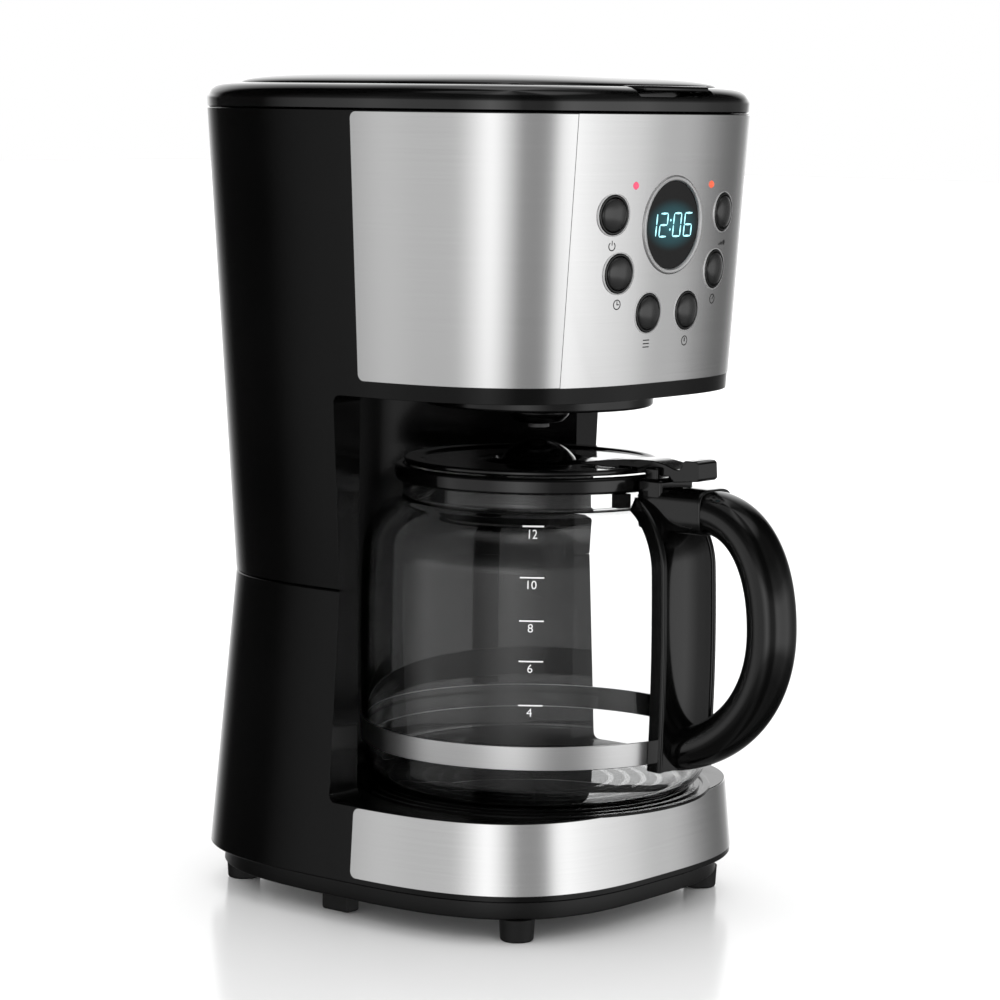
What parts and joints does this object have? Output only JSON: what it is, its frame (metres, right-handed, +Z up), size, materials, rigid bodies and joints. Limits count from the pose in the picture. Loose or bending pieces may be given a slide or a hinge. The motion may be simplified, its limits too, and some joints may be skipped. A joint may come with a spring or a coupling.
{
  "type": "drip coffee maker",
  "caption": "Drip coffee maker with a clock panel and push buttons, a hinged lid over tank and filter basket, and a glass carafe on a warming plate.",
  "frame": {"origin": "on the surface it stands on, under the middle of the whole object's outline with its carafe in place", "axes": "+Z up, -Y is the front with the controls and the carafe's handle, +X is to the right seen from the front with +Y going away"},
  "size_m": [0.1952, 0.2758, 0.3545],
  "materials": {
    "shell_black": "glossy black moulded plastic, fine sink and mould marks",
    "cover_black": "fine matt texture",
    "foot_rubber": "matt black rubber",
    "steel_skin": "horizontally brushed stainless steel sheet",
    "bright_steel": "bright plated steel",
    "plate_coating": "non-stick coated steel",
    "seal_rubber": "black silicone",
    "heater_metal": "die-cast aluminium, dull",
    "thermostat_metal": "plain metal can",
    "fuse_sleeve": "woven sleeve, off white",
    "silicone": "milky silicone hose",
    "valve_plastic": "natural nylon",
    "tank_plastic": "smoke grey polypropylene",
    "board_green": "green solder mask",
    "switch_plastic": "black switch body",
    "gland_rubber": "matt black rubber",
    "brew_plastic": "black polypropylene",
    "gold_mesh": "fine woven mesh, gold tone",
    "display_glass": "smoked window",
    "display_black": "black module with pale cyan digits",
    "lamp_red": "lit red lens",
    "button_black": "glossy black dome",
    "jug_glass": "clear borosilicate glass",
    "handle_black": "glossy black moulded plastic"
  },
  "bodies": {
    "machine": {"lower_shell": "shell_black", "upper_shell": "shell_black", "base_cover": "cover_black", "front_feet": "foot_rubber", "side_feet": "foot_rubber", "rear_feet": "foot_rubber", "base_screws": "bright_steel", "base_steel_trim": "steel_skin", "head_wrap_left": "steel_skin", "head_wrap_right": "steel_skin", "control_fascia": "steel_skin", "warming_plate": "plate_coating", "plate_seal": "seal_rubber", "heater_tube": "heater_metal", "thermostat": "thermostat_metal", "thermal_fuse": "fuse_sleeve", "check_valve": "valve_plastic", "inlet_hose": "silicone", "outlet_hose": "silicone", "riser_tube": "silicone", "water_tank": "tank_plastic", "power_board": "board_green", "cord_gland": "gland_rubber", "brew_chamber": "brew_plastic", "filter_basket": "brew_plastic", "mesh_filter": "gold_mesh", "valve_spring": "bright_steel", "top_rim": "shell_black", "lid_hinge_pins": "bright_steel", "display_bezel": "bright_steel", "display_lens": "display_glass", "display_module": "display_black", "control_board": "board_green", "board_switches": "switch_plastic", "status_lamps": "lamp_red", "button_rings": "shell_black"},
    "lid": {"top_lid": "shell_black", "spray_head": "brew_plastic"},
    "valve": {"drip_valve": "brew_plastic"},
    "carafe": {"carafe_glass": "jug_glass", "carafe_band": "bright_steel", "carafe_collar": "handle_black", "carafe_handle": "handle_black", "handle_shield": "handle_black", "shield_screw": "bright_steel", "collar_clamp": "handle_black", "carafe_lid_pin": "bright_steel"},
    "jug_lid": {"carafe_lid": "handle_black", "thumb_lever": "handle_black"},
    "press_power": {"button_power": "button_black"},
    "press_delay": {"button_delay": "button_black"},
    "press_program": {"button_program": "button_black"},
    "press_hour": {"button_hour": "button_black"},
    "press_minute": {"button_minute": "button_black"},
    "press_strength": {"button_strength": "button_black"}
  },
  "joints": [
    {"name": "lid_hinge", "type": "hinge", "parent": "machine", "child": "lid", "pos_m": [0, 0.1242, 0.3445], "axis": [-1, 0, 0], "range_deg": [0, 85]},
    {"name": "press_power", "type": "slide", "parent": "machine", "child": "press_power", "axis": [0.1634, 0.9849, 0.0578], "range_m": [0, 0.0015], "stiffness_N_per_m": 400},
    {"name": "press_delay", "type": "slide", "parent": "machine", "child": "press_delay", "axis": [0.1258, 0.9904, 0.0578], "range_m": [0, 0.0015], "stiffness_N_per_m": 400},
    {"name": "press_program", "type": "slide", "parent": "machine", "child": "press_program", "axis": [0.0189, 0.9981, 0.0578], "range_m": [0, 0.0015], "stiffness_N_per_m": 400},
    {"name": "press_hour", "type": "slide", "parent": "machine", "child": "press_hour", "axis": [-0.0189, 0.9981, 0.0578], "range_m": [0, 0.0015], "stiffness_N_per_m": 400},
    {"name": "press_minute", "type": "slide", "parent": "machine", "child": "press_minute", "axis": [-0.1258, 0.9904, 0.0578], "range_m": [0, 0.0015], "stiffness_N_per_m": 400},
    {"name": "press_strength", "type": "slide", "parent": "machine", "child": "press_strength", "axis": [-0.1634, 0.9849, 0.0578], "range_m": [0, 0.0015], "stiffness_N_per_m": 400},
    {"name": "valve_lift", "type": "slide", "parent": "machine", "child": "valve", "axis": [0, 0, 1], "range_m": [0, 0.003], "stiffness_N_per_m": 300, "deforming": ["valve_spring"]},
    {"name": "carafe_slide", "type": "slide", "parent": "machine", "child": "carafe", "axis": [0, -1, 0], "range_m": [0, 0.22]},
    {"name": "jug_lid_hinge", "type": "hinge", "parent": "carafe", "child": "jug_lid", "pos_m": [0, -0.072, 0.1899], "axis": [1, 0, 0], "range_deg": [0, 4]}
  ]
}
